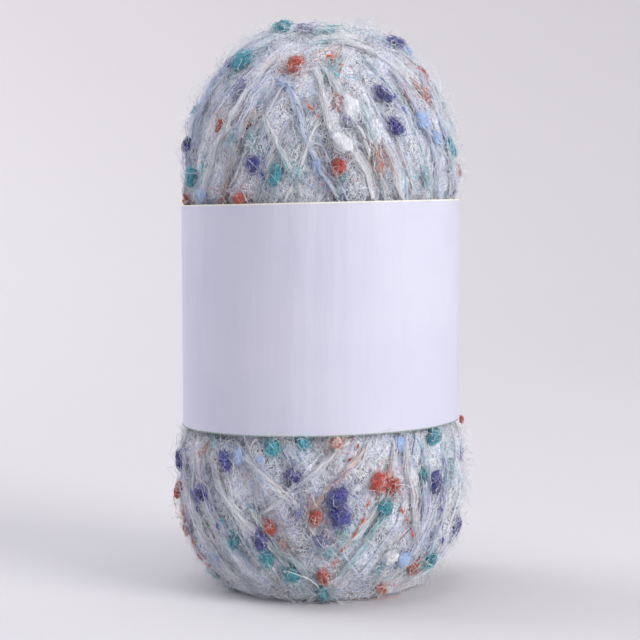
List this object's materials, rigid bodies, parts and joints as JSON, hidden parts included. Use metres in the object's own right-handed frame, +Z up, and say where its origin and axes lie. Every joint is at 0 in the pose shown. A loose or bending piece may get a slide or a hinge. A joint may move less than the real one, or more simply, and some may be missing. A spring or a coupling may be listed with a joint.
{
  "type": "ball of dot yarn with a paper band",
  "caption": "Machine-wound ball of soft brushed yarn flecked with coloured nubs, standing on end, with a blank paper band round its middle.",
  "frame": {"origin": "middle of the flat spot that the ball stands on", "axes": "+Z up along the ball's winding axis, -Y towards the front"},
  "size_m": [0.0806, 0.0796, 0.1568],
  "materials": {
    "yarn": "brushed, matt and hairy, pale grey with a lavender cast, with nubs in teal, navy, orange-red, light blue and white",
    "paper": "smooth uncoated white paper"
  },
  "bodies": {
    "root": {"yarn_ball": "yarn", "ball_band": "paper"}
  },
  "joints": []
}
